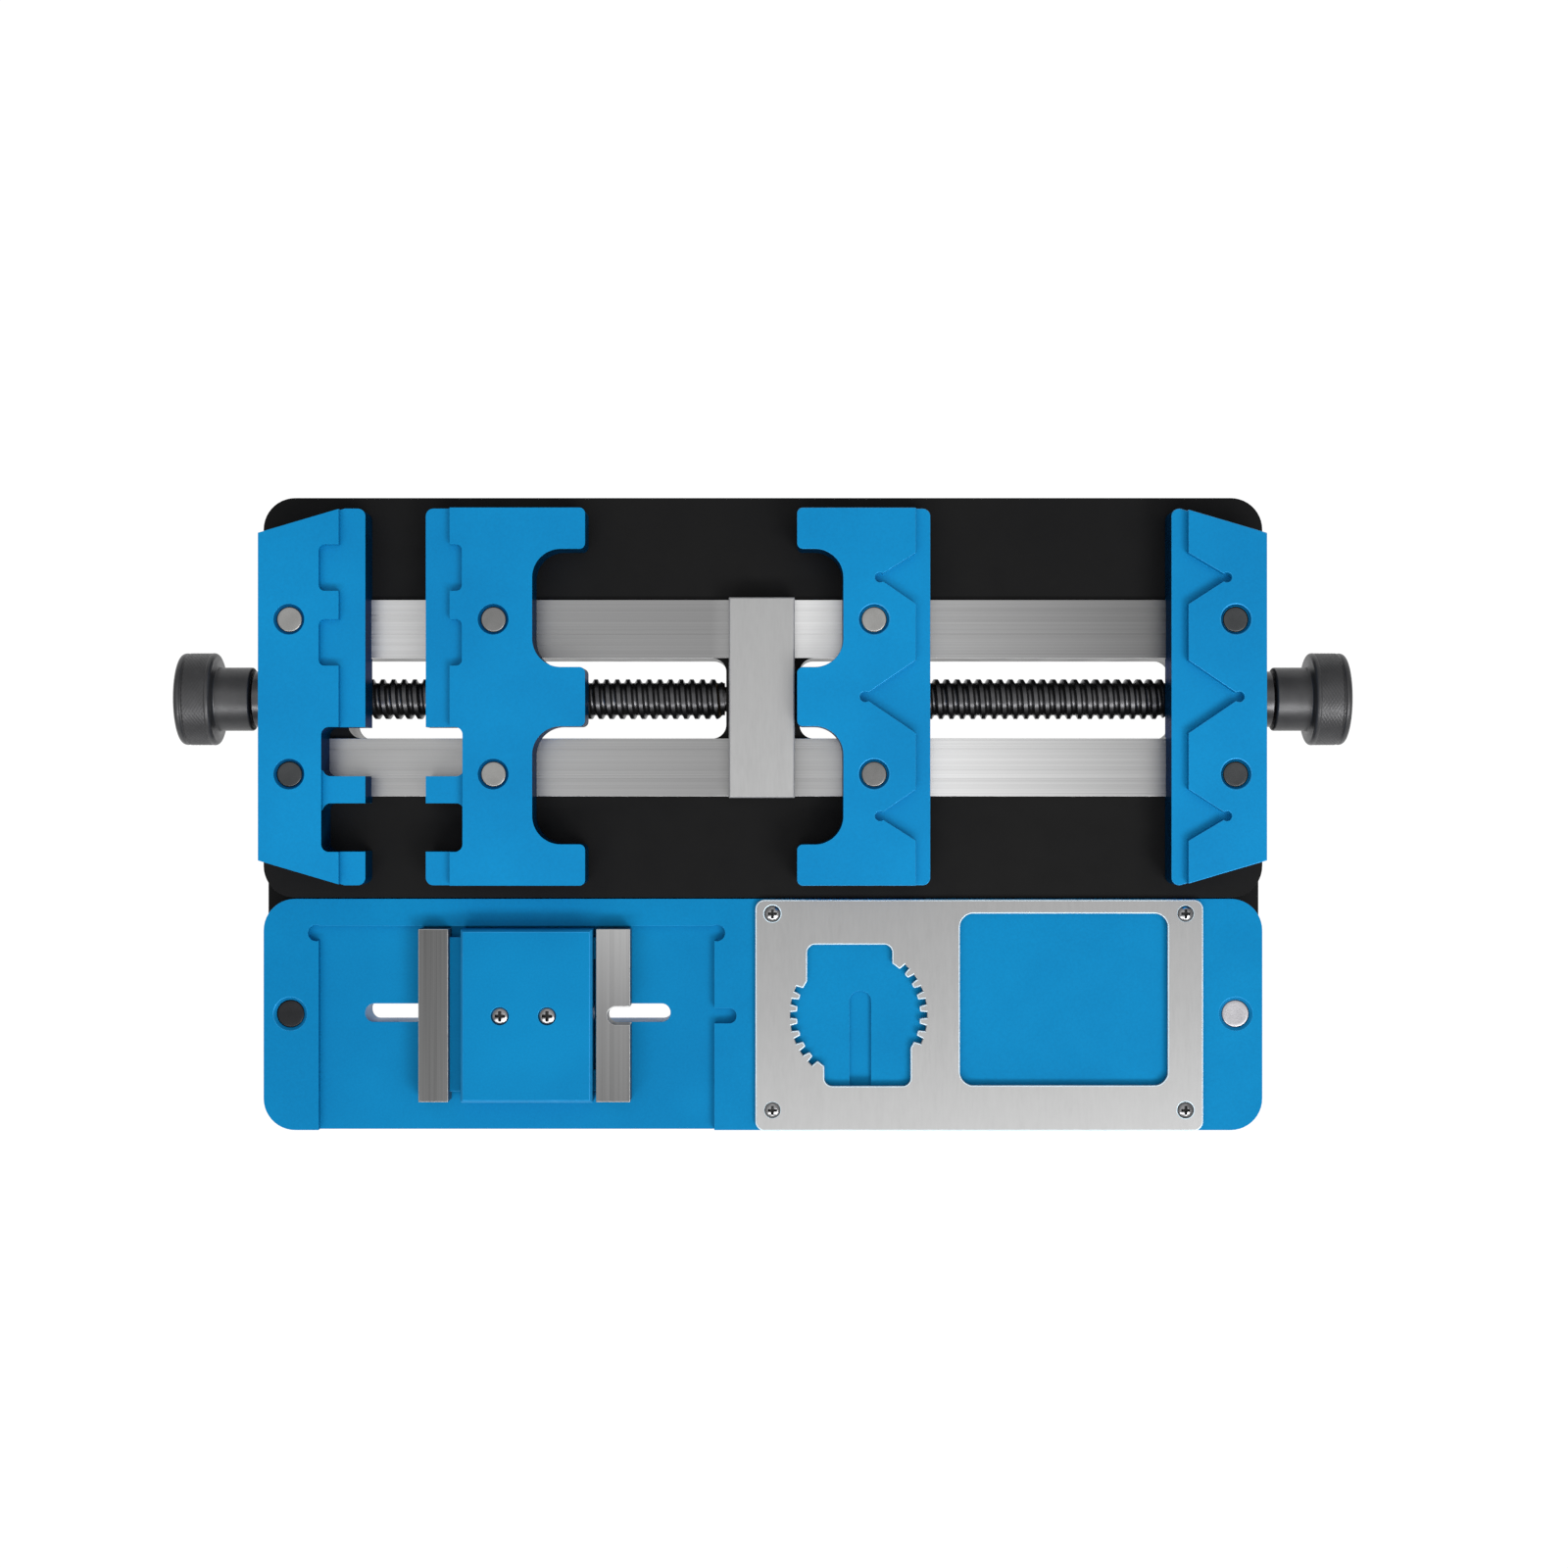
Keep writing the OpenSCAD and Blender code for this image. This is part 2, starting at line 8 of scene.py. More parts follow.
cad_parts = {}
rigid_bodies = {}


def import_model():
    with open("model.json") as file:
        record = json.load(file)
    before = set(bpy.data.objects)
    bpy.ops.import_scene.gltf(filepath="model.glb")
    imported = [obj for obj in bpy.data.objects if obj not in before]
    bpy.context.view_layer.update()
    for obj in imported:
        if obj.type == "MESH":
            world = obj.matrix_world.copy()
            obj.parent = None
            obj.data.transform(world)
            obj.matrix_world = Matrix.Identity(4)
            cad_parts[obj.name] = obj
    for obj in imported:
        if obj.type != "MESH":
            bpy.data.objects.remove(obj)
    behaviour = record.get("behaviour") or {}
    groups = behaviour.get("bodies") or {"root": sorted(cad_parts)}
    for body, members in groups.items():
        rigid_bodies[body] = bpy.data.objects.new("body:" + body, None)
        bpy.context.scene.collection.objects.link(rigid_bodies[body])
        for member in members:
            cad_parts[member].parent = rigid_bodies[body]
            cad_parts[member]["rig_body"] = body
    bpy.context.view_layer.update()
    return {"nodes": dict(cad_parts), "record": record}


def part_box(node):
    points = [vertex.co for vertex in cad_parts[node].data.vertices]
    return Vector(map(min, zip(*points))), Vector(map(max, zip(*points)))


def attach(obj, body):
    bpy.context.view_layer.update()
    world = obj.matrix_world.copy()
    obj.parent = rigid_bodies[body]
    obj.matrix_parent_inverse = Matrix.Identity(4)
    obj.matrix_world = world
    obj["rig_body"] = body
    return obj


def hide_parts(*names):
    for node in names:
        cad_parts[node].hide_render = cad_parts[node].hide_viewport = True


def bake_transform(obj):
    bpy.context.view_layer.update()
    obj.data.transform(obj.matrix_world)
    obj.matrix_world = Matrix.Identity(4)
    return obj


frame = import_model()
NODES = frame["nodes"]
RECORD = frame["record"]
MM = 0.001

# ---------------------------------------------------------------- sizes

EDGE_ANGLE = math.radians(24)       # a fold sharper than this is an edge of the part
SOFT_FOLD = 0.1                     # radians; a fold flatter than this isn't counted as a fold
FLAT_FOLD = math.radians(0.4)       # the faces on both sides of such a fold are one face
WALL_TILT = 0.35                    # a face whose normal rises less than this is a wall
SLOPE_TILT = 0.97                   # and one that rises more than this is no slope
LEVEL_TILT = 0.9                    # a floor's normal rises more than this
TINY = 0.01 * MM                    # a point this close to a level lies on it
WELD = 0.0001 * MM                  # points closer than this are one point
CAD_WELD = 0.001 * MM               # and this far apart in a CAD node
SLIVER = 0.05 * MM                  # and this far apart where only an outline is broken

PLATE_EDGE = 0.35 * MM              # widths of the broken edges
JAW_EDGE = 0.32 * MM
COVER_EDGE = 0.19 * MM
SMALL_EDGE = 0.12 * MM
HEAD_EDGE = 0.06 * MM
JAW_LEDGE = 1.6 * MM                # walls this close below the top are painted as faces
TRAY_LEDGE = 1.7 * MM
HEAD_RECESS = 0.5 * MM              # floors deeper than this in a screw head are its recess

COUPLINGS = {c["follows"]: c["ratio"] for c in RECORD["behaviour"]["couplings"]}
THREAD_PITCH = 2 * math.pi / COUPLINGS["right_jaw_slide"]
THREAD_DEPTH = 0.6 * MM
THREAD_STEPS = 40                   # columns round one turn of the thread
THREAD_ROWS = 12                    # points along one pitch
THREAD_SPARE = 3                    # turns past the ends, flattened onto them
THREAD_SPAN = (6.3 * MM, 64.5 * MM)  # from the part's middle
THREAD_RUNOUT = 0.9 * MM
THREAD_ROOT = 0.22                  # shares of half a pitch: the root, and the flank up to the crest
THREAD_FLANK = 0.46
SHOULDER = 6.1 * MM                 # where the inner journal ends, from the part's middle
SCREW_COLLAR = 0.75 * MM            # length of the plain collar past the thread
INNER_JOURNAL = 2.0 * MM            # radii
OUTER_JOURNAL = 2.5 * MM
SCREW_EDGE = 0.25 * MM

KNOB_LENGTH = 6.1 * MM              # without its collar
KNOB_BAND = (5.3 * MM, 1.75 * MM)   # ends of the knurled band, back from the outer face
KNOB_ROUND = 0.6 * MM               # radius of the inner edge
KNOB_CROWN = 0.75 * MM              # radius of the outer edge
KNOB_CROWN_BACK = 1.1 * MM          # and its middle, back from the outer face
KNOB_GROOVE = 0.35 * MM             # width and depth of the groove beside the band
KNOB_STEP = 0.05 * MM               # how far the groove's walls lean
DOME = 0.5 * MM                     # how far a knob's end face is domed
DOME_SHARES = (0.72, 0.5, 0.25, 0)  # shares of the knob's radius where the dome has a point
KNURL_TEETH = 54
KNURL_STEPS = 26                    # points along the band
KNURL_ROWS = 6.5                    # diamonds along the band
KNURL_DEPTH = 0.11 * MM
COLLAR_RADIUS = 5.05 * MM
COLLAR_ROUND = 0.35 * MM
COLLAR_CORNER = 0.3 * MM            # between collar and knob
SET_SCREW_HOLE = 1.5 * MM
HOLE_SIDES = 32
DRILL_SPAN = (2.5 * MM, 8.5 * MM)   # below the knob's axis

ROUND_SIDES = 64                    # of magnets and feet
DISC_ROUND = 0.22 * MM
DISC_DISH = 0.02 * MM               # how far a magnet's face is dished
DISC_FLAT = 0.7                     # share of its radius where the dish has a point
WIRE = 0.16 * MM                    # radius of the spring wire
SPRING_TURNS = 9
SPRING_STEPS = 20                   # points along one turn
SPRING_SIDES = 8
CLOSED_TURN = 2.1 * WIRE            # pitch of the turn at each end
FOOT_ROUND = 0.45 * MM
SOLE_DEPTH = 0.25 * MM              # the hollow in a foot's sole, and the step at its rim
SOLE_STEP = 0.05 * MM
SOLE_SHARES = (0.4, 0.45, 0.5)      # shares of the foot's radius where the hollow's rim runs

FACE, WALL, RIM = 0, 1, 2           # a piece's material slots

FLOOR_SIZE = 3.0                    # metres, as are the lights' places and sizes
FLOOR_ALBEDO = 0.05
FLOOR_GLOW = 1.0
SKY_STOPS = ((0, 0.36), (0.72, 0.5), (0.93, 1.25))  # rise of the view ray, brightness of the sky
KEY_PLACE = (1.1, -1.1, 1.9)
KEY_SIZE = (1.0, 1.0)
KEY_POWER = 25
STRIP_PLACE = (0, -0.62, 0.8)
STRIP_SIZE = (1.3, 0.2)
STRIP_POWER = 6                     # powers are in watts

CAMERA_PLACE = (3.33 * MM, 4.76 * MM, 402 * MM)
CAMERA_LENS = 56.6
CAMERA_NEAR = 0.01


# ---------------------------------------------------------------- materials

class Paint:
    """A procedural material: one Principled shader and the nodes that feed it."""

    def __init__(self, name, rough, metal=0.0, specular=0.5, color=(0.5, 0.5, 0.5)):
        self.material = bpy.data.materials.new(name)
        self.material.use_nodes = True
        self.tree = self.material.node_tree
        self.shader = self.tree.nodes["Principled BSDF"]
        self.put("Base Color", (*color, 1))
        self.put("Roughness", rough)
        self.put("Metallic", metal)
        self.put("Specular IOR Level", specular)
        self.material.diffuse_color = (*color, 1)

    def put(self, socket, value):
        self.shader.inputs[socket].default_value = value

    def node(self, kind, **values):
        made = self.tree.nodes.new(kind)
        for name, value in values.items():
            setattr(made, name, value)
        return made

    def link(self, out, into):
        self.tree.links.new(out, into)

    def place(self, grain):
        """Object coordinates, counted in grains of the given size in millimetres."""
        coords = self.node("ShaderNodeTexCoord")
        scaled = self.node("ShaderNodeMapping")
        scaled.inputs["Scale"].default_value = [1 / (g * MM) for g in grain]
        self.link(coords.outputs["Object"], scaled.inputs["Vector"])
        return scaled.outputs["Vector"]

    def noise(self, grain, detail=2.0, rough=0.5):
        made = self.node("ShaderNodeTexNoise")
        made.inputs["Scale"].default_value = 1
        made.inputs["Detail"].default_value = detail
        made.inputs["Roughness"].default_value = rough
        self.link(self.place(grain), made.inputs["Vector"])
        return made.outputs["Fac"]

    def ramp(self, value, stops):
        """value turned into a colour, or a grey, through (place, colour) stops."""
        made = self.node("ShaderNodeValToRGB")
        ends = made.color_ramp.elements
        while len(ends) < len(stops):
            ends.new(0.5)
        for end, (at, color) in zip(ends, stops):
            end.position = at
            end.color = (color, color, color, 1) if isinstance(color, float) else (*color, 1)
        self.link(value, made.inputs["Fac"])
        return made.outputs["Color"]

    def along(self, axis, stops):
        """A grey that changes along an axis, through (place in millimetres, grey) stops."""
        coords = self.node("ShaderNodeTexCoord")
        parts = self.node("ShaderNodeSeparateXYZ")
        share = self.node("ShaderNodeMapRange")
        first, last = stops[0][0], stops[-1][0]
        share.inputs["From Min"].default_value = first * MM
        share.inputs["From Max"].default_value = last * MM
        self.link(coords.outputs["Object"], parts.inputs["Vector"])
        self.link(parts.outputs[axis], share.inputs["Value"])
        places = [((at - first) / (last - first), grey) for at, grey in stops]
        return self.ramp(share.outputs["Result"], places)

    def mix(self, share, first, second, kind="MIX"):
        """first and second mixed as colours; share is a socket or a number. A Mix node has its sockets for
        numbers, vectors and colours one after the other, so the colours' sockets go by their place."""
        made = self.node("ShaderNodeMix", data_type="RGBA", blend_type=kind)
        sockets = (made.inputs[0], made.inputs[6], made.inputs[7])
        for socket, value in zip(sockets, (share, first, second)):
            if isinstance(value, bpy.types.NodeSocket):
                self.link(value, socket)
            elif isinstance(value, tuple):
                socket.default_value = (*value, 1)
            else:
                socket.default_value = value
        return made.outputs[2]

    def colored(self, color):
        self.link(color, self.shader.inputs["Base Color"])

    def roughened(self, value, low, high):
        """Roughness from low to high, following a noise value."""
        made = self.node("ShaderNodeMapRange")
        made.inputs["To Min"].default_value = low
        made.inputs["To Max"].default_value = high
        made.inputs["From Min"].default_value = 0.3
        made.inputs["From Max"].default_value = 0.7
        self.link(value, made.inputs["Value"])
        self.link(made.outputs["Result"], self.shader.inputs["Roughness"])

    def bumped(self, *layers):
        """Layers of (height socket, depth in millimetres), one over the other."""
        normal = None
        for height, depth in layers:
            made = self.node("ShaderNodeBump")
            made.inputs["Distance"].default_value = depth * MM
            made.inputs["Strength"].default_value = 1
            self.link(height, made.inputs["Height"])
            if normal:
                self.link(normal, made.inputs["Normal"])
            normal = made.outputs["Normal"]
        self.link(normal, self.shader.inputs["Normal"])


def anodised(name, deep, light, low, high, metal, specular=0.1, lines=None, grazing_shade=None):
    """Coloured anodised aluminium with a fine blasted skin, or milled lines on a wall. Its last argument
    is the colour that tints its metallic sheen at a flat angle; a dark one there is painted shade on walls
    seen edge-on."""
    paint = Paint(name, rough=high, metal=metal, color=deep, specular=specular)
    if grazing_shade:
        paint.put("Specular Tint", (*grazing_shade, 1))
    drift = paint.noise((26, 22, 26), detail=3)
    speck = paint.noise((0.32, 0.32, 0.32), detail=2)
    tone = paint.mix(paint.ramp(drift, [(0.35, 0.0), (0.65, 1.0)]), deep, light)
    shade = paint.ramp(speck, [(0.25, 0.90), (0.75, 1.0)])
    paint.colored(paint.mix(1.0, tone, shade, "MULTIPLY"))
    paint.roughened(paint.noise((4, 4, 4), detail=4), low, high)
    if lines:
        paint.bumped((paint.noise(lines, detail=2), 0.006))
    else:
        paint.bumped((paint.noise((0.11, 0.11, 0.11), detail=2), 0.0035))
    return paint.material


def rim_highlight_and_wear(name, color, bare, low, high, metal):
    """The broken edge of a plate: a little paler than its faces, a painted highlight, and rubbed in a few
    small places.
    """
    paint = Paint(name, rough=high, metal=metal, color=color, specular=0.3)
    rubbed = paint.ramp(paint.noise((2.6, 2.6, 2.6), detail=4, rough=0.6), [(0.60, 0.0), (0.76, 0.35)])
    drift = paint.ramp(paint.noise((9, 9, 9), detail=2), [(0.3, 0.86), (0.7, 1.0)])
    tone = paint.mix(1.0, color, drift, "MULTIPLY")
    paint.colored(paint.mix(rubbed, tone, bare))
    paint.roughened(paint.noise((0.8, 0.8, 0.8), detail=3), low, high)
    paint.bumped((paint.noise((0.3, 0.3, 0.3), detail=2), 0.003))
    return paint.material


def brushed(name, grain, low, high, axis, stops, contrast=0.2, metal=0.9, depth=0.002):
    """Metal brushed along its long grain; its grey along an axis, through (place, grey) stops, is painted
    reflection and shade.
    """
    paint = Paint(name, rough=high, metal=metal, color=(stops[0][1],) * 3)
    fine = paint.noise(grain, detail=4, rough=0.6)
    broad = paint.noise([g * 6 for g in grain], detail=2)
    lines = paint.ramp(fine, [(0.3, 1 - contrast), (0.7, 1.0)])
    bands = paint.ramp(broad, [(0.3, 1 - contrast / 2), (0.7, 1.0)])
    worked = paint.mix(1.0, lines, bands, "MULTIPLY")
    paint.colored(paint.mix(1.0, paint.along(axis, stops), worked, "MULTIPLY"))
    paint.roughened(fine, low, high)
    paint.bumped((fine, depth))
    return paint.material


def plain_metal(name, dark, light, low, high, metal, specular=0.5, grain=0.4, depth=0.004):
    """Machined or plated metal with slight clouds and a fine even grain."""
    paint = Paint(name, rough=high, metal=metal, color=dark, specular=specular)
    clouds = paint.noise((3.1, 3.1, 3.1), detail=4)
    paint.colored(paint.ramp(clouds, [(0.3, dark), (0.7, light)]))
    fine = paint.noise((grain, grain, grain), detail=3)
    paint.roughened(fine, low, high)
    paint.bumped((fine, depth))
    return paint.material


def rubbery(name):
    paint = Paint(name, rough=0.8, color=(0.018, 0.018, 0.018), specular=0.3)
    clouds = paint.noise((1.5, 1.5, 1.5), detail=4)
    paint.colored(paint.ramp(clouds, [(0.3, (0.014, 0.014, 0.014)), (0.7, (0.026, 0.026, 0.025))]))
    paint.roughened(clouds, 0.7, 0.9)
    paint.bumped((paint.noise((0.15, 0.15, 0.15), detail=2), 0.01))
    return paint.material


BLUE = anodised("blue_anodised", (0.0015, 0.179, 0.41), (0.002, 0.207, 0.458), 0.48, 0.58, metal=0.15,
                specular=0.08)
TRAY_BLUE = anodised("tray_blue", (0.001, 0.163, 0.37), (0.0015, 0.188, 0.412), 0.48, 0.58, metal=0.15,
                     specular=0.06)
# The jaws' walls: a darker blue whose sheen turns dark at a flat angle, painted shade on their sides.
BLUE_WALL_SHADE = anodised("blue_wall_painted_shade", (0.004, 0.14, 0.36), (0.006, 0.165, 0.41), 0.24, 0.34, metal=0.9,
                     lines=(9, 9, 0.14), grazing_shade=(0.03, 0.04, 0.07))
BLUE_SIDE = anodised("blue_side", (0.003, 0.175, 0.41), (0.005, 0.205, 0.46), 0.35, 0.45, metal=0.4,
                     lines=(9, 9, 0.14))
# Rims paler than the faces: a painted highlight along the broken edges, with rubbed spots of wear.
BLUE_RIM = rim_highlight_and_wear("blue_rim", (0.006, 0.225, 0.50), (0.08, 0.32, 0.54), 0.34, 0.46, metal=0.4)
BLACK = anodised("black_anodised", (0.0048, 0.0048, 0.0051), (0.006, 0.0059, 0.0059), 0.5, 0.62, metal=0.0,
                 specular=0.08)
BLACK_WALL = anodised("black_wall", (0.0045, 0.0045, 0.0046), (0.006, 0.006, 0.006), 0.3, 0.4, metal=0.0,
                      specular=0.3, lines=(9, 9, 0.16))
# A rim paler than the black faces: a painted highlight along the edges, with rubbed spots of wear.
BLACK_RIM = rim_highlight_and_wear("black_rim", (0.012, 0.012, 0.012), (0.10, 0.10, 0.10), 0.35, 0.5, metal=0.2)

LENGTHWISE = (260, 0.16, 2)         # millimetres of grain along X, Y and Z
CROSSWISE = (0.2, 60, 2)
SATIN_GRAIN = (0.3, 2.5, 0.3)
# Greys along each rail by X: painted reflections and shade, lighter and darker stretches of the mirrored
# surroundings.
REAR_RAIL_REFLECTIONS = [(-61, 0.57), (-36, 0.28), (-8, 0.24), (5, 0.70), (26, 0.355), (62, 0.15)]
FRONT_RAIL_REFLECTIONS = [(-68, 0.35), (-36, 0.36), (-8, 0.27), (5, 0.32), (26, 0.68), (62, 0.32)]
REAR_RAIL = brushed("rear_rail_steel_painted_reflections", LENGTHWISE, 0.26, 0.4, "X", REAR_RAIL_REFLECTIONS)
FRONT_RAIL = brushed("front_rail_steel_painted_reflections", LENGTHWISE, 0.26, 0.4, "X", FRONT_RAIL_REFLECTIONS)
RAIL_RIM = brushed("rail_rim", LENGTHWISE, 0.2, 0.35, "X", [(-70, 0.5), (70, 0.6)])
# The cover plate and the centre block grow darker towards the back: painted shade.
SATIN = brushed("satin_steel", SATIN_GRAIN, 0.4, 0.48, "Y", [(-50, 0.343), (-31, 0.291), (-14, 0.265)],
                contrast=0.05, depth=0.001)
BLOCK = brushed("block_steel", SATIN_GRAIN, 0.38, 0.46, "Y", [(2, 0.36), (34, 0.335)], contrast=0.06,
                depth=0.001)
# A bluish white rim round the cover plate: a painted highlight and reflection, with rubbed spots of wear.
SATIN_RIM = rim_highlight_and_wear("satin_rim", (0.61, 0.75, 0.84), (0.75, 0.84, 0.90), 0.23, 0.35, metal=0.1)
BLOCK_RIM = rim_highlight_and_wear("block_rim", (0.34, 0.34, 0.345), (0.55, 0.55, 0.55), 0.3, 0.42, metal=0.3)
# The left blade grows a little darker towards the back, painted shade; the right one is paler towards the
# back, a painted reflection.
BLADE = brushed("blade_steel", CROSSWISE, 0.36, 0.46, "Y", [(-46, 0.146), (-17, 0.13)], contrast=0.3)
BLADE_PAINTED_REFLECTION = brushed("blade_steel_painted_reflection", CROSSWISE, 0.34, 0.44, "Y",
                     [(-46, 0.156), (-32, 0.205), (-18, 0.336)])
# Blade rims paler than their faces: a painted highlight.
BLADE_RIM_HIGHLIGHT = brushed("blade_rim_highlight", (1, 1, 1), 0.25, 0.4, "Y", [(-46, 0.4), (-17, 0.5)])

OXIDE = plain_metal("black_oxide", (0.055, 0.055, 0.058), (0.09, 0.09, 0.093), 0.24, 0.34, metal=0.95)
KNOB = plain_metal("knob_grey", (0.037, 0.037, 0.039), (0.051, 0.051, 0.0535), 0.34, 0.46, metal=0.45)
# The collar's grey, paler than the knob's, is a painted highlight; its greater gloss is its own finish.
COLLAR = plain_metal("collar_black_painted_highlight", (0.052, 0.052, 0.054), (0.069, 0.069, 0.071), 0.36, 0.44, metal=0.7)
FASTENER = plain_metal("fastener_steel", (0.30, 0.30, 0.31), (0.42, 0.42, 0.43), 0.25, 0.4, metal=0.95)
BRIGHT_HEAD = plain_metal("bright_screw_head", (0.22, 0.22, 0.225), (0.30, 0.30, 0.305), 0.16, 0.24,
                          metal=1.0)
# Near black for the screw heads' walls and their recesses' floors: painted shade.
RECESS_SHADE = plain_metal("screw_recess_painted_shade", (0.012, 0.012, 0.012), (0.022, 0.022, 0.022), 0.5, 0.65, metal=0.2)
BRASS = plain_metal("brass", (0.55, 0.40, 0.17), (0.66, 0.49, 0.23), 0.25, 0.4, metal=0.95)
BRONZE = plain_metal("bronze", (0.40, 0.25, 0.12), (0.50, 0.33, 0.17), 0.35, 0.5, metal=0.9)
SPRING = plain_metal("spring_steel", (0.32, 0.32, 0.33), (0.45, 0.45, 0.45), 0.2, 0.32, metal=0.95)
RUBBER = rubbery("rubber")


def disc_paint(name, dark, light):
    return plain_metal(name, dark, light, 0.26, 0.4, metal=0.9, grain=0.25, depth=0.003)


# Greys for the plated magnets, one per disc: painted reflections of the different surroundings each disc
# mirrors.
DISC_BRIGHT_REFLECTION = disc_paint("nickel_painted_bright_reflection", (0.225, 0.223, 0.216), (0.275, 0.273, 0.266))
DISC_MID_REFLECTION = disc_paint("nickel_painted_mid_reflection", (0.135, 0.134, 0.132), (0.17, 0.168, 0.166))
DISC_DARK_REFLECTION = disc_paint("nickel_painted_dark_reflection", (0.036, 0.038, 0.04), (0.05, 0.052, 0.054))
DISC_BLACK_REFLECTION = disc_paint("nickel_painted_black_reflection", (0.015, 0.016, 0.017), (0.023, 0.023, 0.025))
DISC_PALE_REFLECTION = disc_paint("nickel_painted_pale_reflection", (0.31, 0.305, 0.32), (0.37, 0.365, 0.38))

# Paints for the FACE, WALL and RIM slots.
TRAY_SET = (TRAY_BLUE, BLUE_SIDE, BLUE_RIM)
JAW_SET = (BLUE, BLUE_WALL_SHADE, BLUE_RIM)
BLACK_SET = (BLACK, BLACK_WALL, BLACK_RIM)
SATIN_SET = (SATIN, SATIN, SATIN_RIM)
BLOCK_SET = (BLOCK, BLOCK, BLOCK_RIM)
HEAD_SET = (BRIGHT_HEAD, RECESS_SHADE, BRIGHT_HEAD)
REAR_RAIL_SET = (REAR_RAIL, REAR_RAIL, RAIL_RIM)
FRONT_RAIL_SET = (FRONT_RAIL, FRONT_RAIL, RAIL_RIM)
LEFT_BLADE_SET = (BLADE, BLADE, BLADE_RIM_HIGHLIGHT)
RIGHT_BLADE_SET = (BLADE_PAINTED_REFLECTION, BLADE, BLADE_RIM_HIGHLIGHT)


# ---------------------------------------------------------------- mesh helpers

def cad_mesh(node):
    """A CAD node's mesh, welded, with its flat faces whole again."""
    mesh = bmesh.new()
    mesh.from_mesh(NODES[node].data)
    bmesh.ops.remove_doubles(mesh, verts=mesh.verts, dist=CAD_WELD)
    bmesh.ops.dissolve_limit(mesh, angle_limit=FLAT_FOLD, verts=mesh.verts, edges=mesh.edges)
    return mesh


def groups(items, touching):
    """The items in groups that hang together, in the same order each run. touching(item) lists an item's
    neighbours."""
    left = dict.fromkeys(items)
    found = []
    while left:
        first, _ = left.popitem()
        group, ahead = [], [first]
        while ahead:
            item = ahead.pop()
            group.append(item)
            for other in touching(item):
                if other in left:
                    del left[other]
                    ahead.append(other)
        found.append(group)
    return found


def verts_beside(vert):
    return [edge.other_vert(vert) for edge in vert.link_edges]


def edges_beside(edge):
    return [other for vert in edge.verts for other in vert.link_edges]


def islands(node):
    """The separate solids of a CAD node, as (lowest corner, highest corner) pairs, ordered by place."""
    mesh = cad_mesh(node)
    found = []
    for group in groups(mesh.verts, verts_beside):
        low, high = (Vector([end(vert.co[axis] for vert in group) for axis in range(3)])
                     for end in (min, max))
        found.append((low, high))
    mesh.free()
    return sorted(found, key=lambda box: tuple(round(value, 6) for value in box[0]))


def same_order(mesh):
    """Sorts points and faces by place, since several bevels leave them in another order each run."""
    verts = sorted(mesh.verts, key=lambda vert: tuple(vert.co))
    faces = sorted(mesh.faces, key=lambda face: tuple(face.calc_center_median()))
    for items, ordered in ((mesh.verts, verts), (mesh.faces, faces)):
        rank = {item: number for number, item in enumerate(ordered)}
        items.sort(key=rank.get)


def is_edge(edge):
    return len(edge.link_faces) == 2 and edge.calc_face_angle() > EDGE_ANGLE


def finished(name, mesh, paints, smooth_angle=math.radians(40)):
    """The bmesh made into an object with those materials and weighted smooth normals."""
    bmesh.ops.recalc_face_normals(mesh, faces=mesh.faces)
    data = bpy.data.meshes.new(name)
    mesh.to_mesh(data)
    mesh.free()
    data.shade_smooth()
    data.set_sharp_from_angle(angle=smooth_angle)
    for paint in paints:
        data.materials.append(paint)
    made = bpy.data.objects.new(name, data)
    bpy.context.scene.collection.objects.link(made)
    weigh = made.modifiers.new("weigh", "WEIGHTED_NORMAL")
    weigh.keep_sharp = True
    weigh.weight = 100              # the larger face decides
    bpy.context.view_layer.update()
    shaped = bpy.data.meshes.new_from_object(made.evaluated_get(bpy.context.evaluated_depsgraph_get()))
    made.modifiers.clear()
    made.data = shaped
    shaped.name = name
    bpy.data.meshes.remove(data)
    return made


def stand_for(piece, *nodes):
    """piece shows in place of those CAD nodes, with their body."""
    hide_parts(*nodes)
    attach(piece, NODES[nodes[0]]["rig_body"])
    return piece


